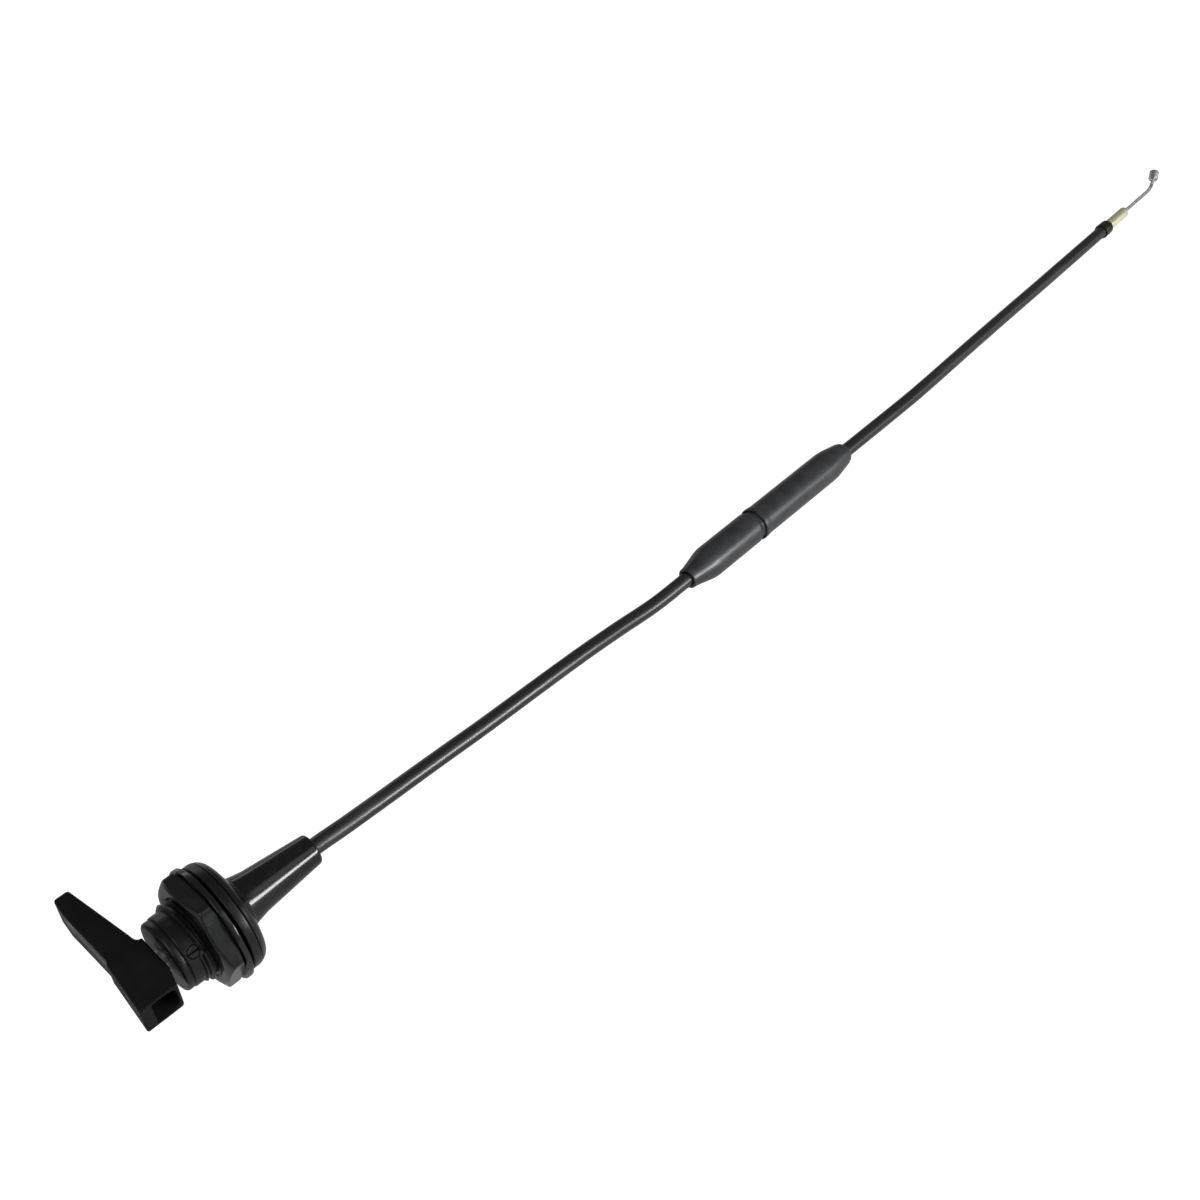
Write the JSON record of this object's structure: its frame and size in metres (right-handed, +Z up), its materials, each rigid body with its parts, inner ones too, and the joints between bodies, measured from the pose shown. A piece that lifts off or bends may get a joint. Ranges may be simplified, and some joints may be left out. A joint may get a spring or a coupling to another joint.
{
  "type": "push-pull control cable",
  "caption": "Push-pull control cable: winged pull handle, threaded panel housing with nut and boot, sheathed wire with in-line adjuster, plain ferrule and nipple end.",
  "frame": {"origin": "centre of the flange's front face, which sits against the back of the panel", "axes": "+X along the rod from the panel towards the cable, +Y along the handle's wing, +Z up"},
  "size_m": [0.5658, 0.0491, 0.0345],
  "materials": {
    "handle_plastic": "black moulded, fine sheen",
    "housing_black": "black coated, semi-gloss",
    "black_nut": "black coated, semi-gloss",
    "boot_rubber": "smooth black rubber",
    "sleeve_rubber": "dark grey rubber",
    "sheath_plastic": "smooth black jacket",
    "cap_plastic": "black cap",
    "pale_brass": "plain turned",
    "bush_brass": "turned",
    "wire_steel": "drawn wire",
    "plated_steel": "zinc plated",
    "seal_rubber": "soft seal"
  },
  "bodies": {
    "housing": {"housing": "housing_black", "guide_bush": "bush_brass", "rod_seal": "seal_rubber", "detent_ball": "plated_steel", "detent_spring": "plated_steel", "detent_screw": "plated_steel", "rubber_boot": "boot_rubber", "near_ferrule": "plated_steel", "sheath_near": "sheath_plastic", "near_cap": "plated_steel", "adjuster_screw": "plated_steel", "inner_wire_middle": "wire_steel"},
    "pull": {"handle": "handle_plastic", "pull_rod": "plated_steel", "handle_pin": "plated_steel", "inner_wire_near": "wire_steel"},
    "panel_washer": {"panel_washer": "black_nut"},
    "panel_nut": {"panel_nut": "black_nut"},
    "short_sleeve": {"short_sleeve": "sleeve_rubber"},
    "lock_nut": {"lock_nut": "bush_brass"},
    "far_conduit": {"far_cap": "plated_steel", "sheath_far": "sheath_plastic", "end_cap": "cap_plastic", "end_ferrule": "pale_brass"},
    "barrel": {"adjuster_barrel": "plated_steel"},
    "long_sleeve": {"long_sleeve": "sleeve_rubber"},
    "tip": {"inner_wire_tip": "wire_steel", "end_nipple": "plated_steel"}
  },
  "joints": [
    {"name": "handle_pull", "type": "slide", "parent": "housing", "child": "pull", "axis": [-1, 0, 0], "range_m": [0, 0.02]},
    {"name": "tip_draw", "type": "slide", "parent": "housing", "child": "tip", "axis": [-0.9976, -0.0698, 0], "range_m": [0, 0.02]},
    {"name": "washer_slide", "type": "slide", "parent": "housing", "child": "panel_washer", "axis": [-1, 0, 0], "range_m": [-0.0009, 0.003]},
    {"name": "nut_turn", "type": "hinge", "parent": "panel_washer", "child": "panel_nut", "pos_m": [0, 0, 0], "axis": [-1, 0, 0], "range_deg": [-162, 540]},
    {"name": "short_sleeve_slide", "type": "slide", "parent": "housing", "child": "short_sleeve", "axis": [-0.9993, -0.038, 0], "range_m": [0, 0.013]},
    {"name": "lock_nut_turn", "type": "hinge", "parent": "housing", "child": "lock_nut", "pos_m": [0.19, 0.00495, -0.01145], "axis": [0.9993, 0.038, 0], "range_deg": [-180, 0]},
    {"name": "adjust_slide", "type": "slide", "parent": "housing", "child": "far_conduit", "axis": [0.9993, 0.038, 0], "range_m": [0, 0.003]},
    {"name": "barrel_turn", "type": "hinge", "parent": "far_conduit", "child": "barrel", "pos_m": [0.19, 0.00495, -0.01145], "axis": [0.9993, 0.038, 0], "range_deg": [0, 1350]},
    {"name": "long_sleeve_slide", "type": "slide", "parent": "far_conduit", "child": "long_sleeve", "axis": [0.9993, 0.038, 0], "range_m": [0, 0.032]}
  ],
  "couplings": [
    {"joint": "tip_draw", "follows": "handle_pull", "ratio": 1},
    {"joint": "nut_turn", "follows": "washer_slide", "rad_per_m": 3141.6},
    {"joint": "barrel_turn", "follows": "adjust_slide", "rad_per_m": 7854}
  ]
}
